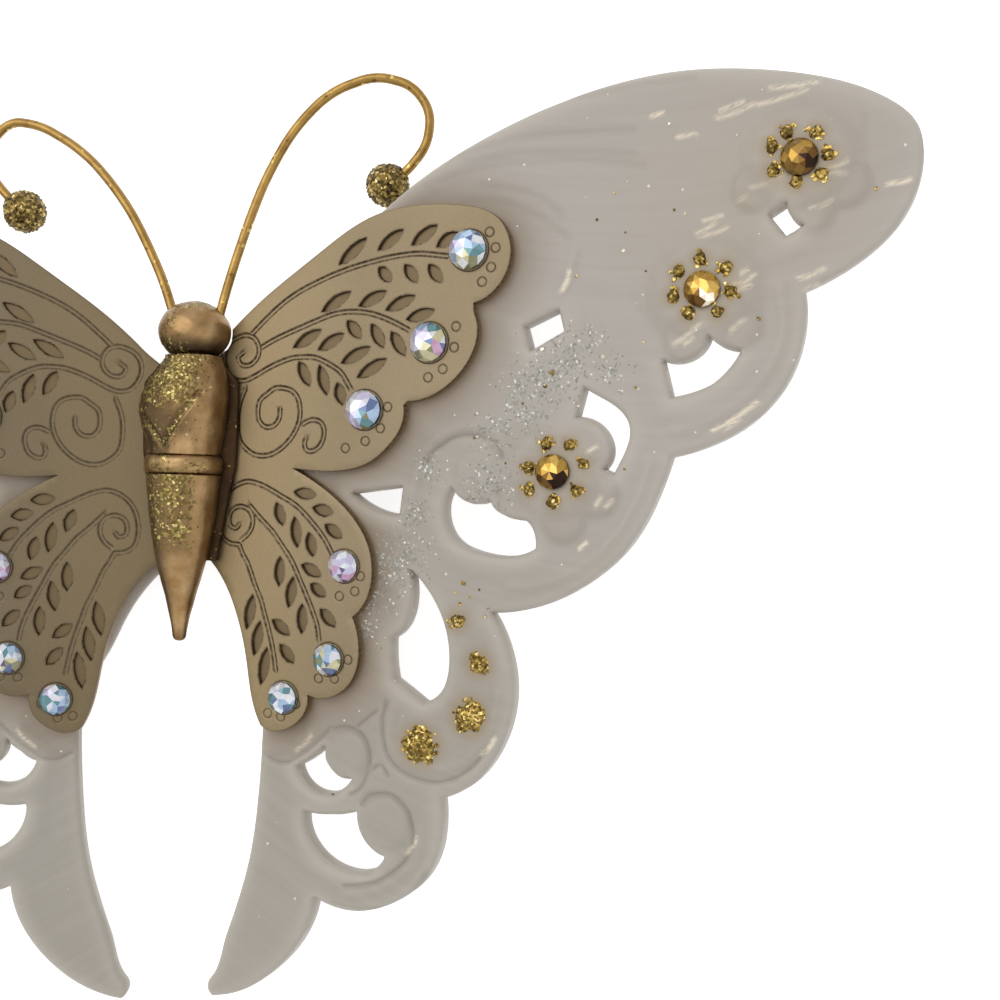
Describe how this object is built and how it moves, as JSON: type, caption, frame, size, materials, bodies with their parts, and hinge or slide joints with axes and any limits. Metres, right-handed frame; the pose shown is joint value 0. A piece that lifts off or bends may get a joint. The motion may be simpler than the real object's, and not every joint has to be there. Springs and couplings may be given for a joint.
{
  "type": "butterfly ornament",
  "caption": "Decorative butterfly with pierced relief wings, leaf-carved gold overlays, set stones, a glittered body and curled wire antennae, resting on a flat back.",
  "frame": {"origin": "middle line of the spine block's flat back face, level with the waist", "axes": "+X to the butterfly's right-hand picture side along the wingspan, +Y towards the head, +Z out of the decorated front"},
  "size_m": [0.1789, 0.1197, 0.024],
  "materials": {
    "pearl_casting": "cast pearl resin with a soft gloss",
    "champagne_sheet": "champagne gold sheet, satin, burnt brown cut edges",
    "gold_glitter": "gold glitter glue",
    "crystal": "foil-backed cut crystal with a rainbow coating",
    "gold_stone": "gold mirror-backed cut stone",
    "gold_wire": "polished gold-coloured wire",
    "ball_glitter": "dark bronze ball coated with coarse gold glitter",
    "spine": "bronze paint on a plain block",
    "bronze": "bronze paint with gold glitter"
  },
  "bodies": {
    "root": {"wing_right": "pearl_casting", "filigree_right": "champagne_sheet", "glitter_dabs_right": "gold_glitter", "crystal_upper_right_1": "crystal", "crystal_upper_right_2": "crystal", "crystal_upper_right_3": "crystal", "crystal_lower_right_1": "crystal", "crystal_lower_right_2": "crystal", "crystal_lower_right_3": "crystal", "gold_stone_inner_right": "gold_stone", "glitter_dots_inner_right": "gold_glitter", "gold_stone_middle_right": "gold_stone", "glitter_dots_middle_right": "gold_glitter", "gold_stone_outer_right": "gold_stone", "glitter_dots_outer_right": "gold_glitter", "antenna_wire_right": "gold_wire", "antenna_ball_right": "ball_glitter", "wing_left": "pearl_casting", "filigree_left": "champagne_sheet", "glitter_dabs_left": "gold_glitter", "crystal_upper_left_1": "crystal", "crystal_upper_left_2": "crystal", "crystal_upper_left_3": "crystal", "crystal_lower_left_1": "crystal", "crystal_lower_left_2": "crystal", "crystal_lower_left_3": "crystal", "gold_stone_inner_left": "gold_stone", "glitter_dots_inner_left": "gold_glitter", "gold_stone_middle_left": "gold_stone", "glitter_dots_middle_left": "gold_glitter", "gold_stone_outer_left": "gold_stone", "glitter_dots_outer_left": "gold_glitter", "antenna_wire_left": "gold_wire", "antenna_ball_left": "ball_glitter", "spine_block": "spine", "body_bed": "bronze", "thorax": "bronze", "waist_collar": "bronze", "abdomen": "bronze", "head": "bronze"}
  },
  "joints": []
}
